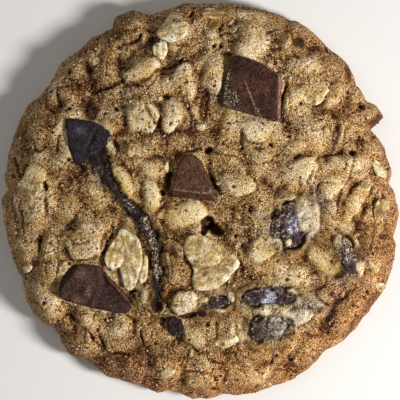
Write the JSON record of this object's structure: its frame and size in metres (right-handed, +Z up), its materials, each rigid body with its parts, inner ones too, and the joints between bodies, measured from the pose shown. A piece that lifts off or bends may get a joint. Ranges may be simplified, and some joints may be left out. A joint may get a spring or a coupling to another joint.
{
  "type": "oatmeal chocolate chunk cookie",
  "caption": "Thick round oatmeal cookie with an uneven edge, a craggy top of oat flakes, broken chocolate chunks, half-sunk chocolate pools and a melted chocolate streak, on a flat underside.",
  "frame": {"origin": "middle of the flat underside", "axes": "+Z up out of the top face, +Y towards the far edge as seen from above, +X to the right"},
  "size_m": [0.0896, 0.0894, 0.0134],
  "materials": {
    "baked_dough": "matte, grainy baked crumb",
    "chocolate": "satin",
    "melted_chocolate": "semi-gloss"
  },
  "bodies": {
    "root": {"cookie_dough": "baked_dough", "chocolate_chunk_upper_right": "chocolate", "chocolate_chunk_centre": "chocolate", "chocolate_chunk_left": "chocolate", "chocolate_chunk_lower_left": "chocolate", "chocolate_chunk_small": "chocolate", "chocolate_pool_middle_right": "melted_chocolate", "chocolate_pool_right": "melted_chocolate", "chocolate_pool_lower_right": "melted_chocolate", "chocolate_pool_glossy": "melted_chocolate", "chocolate_pool_lower_middle": "melted_chocolate", "melted_chocolate_streak": "melted_chocolate"}
  },
  "joints": []
}
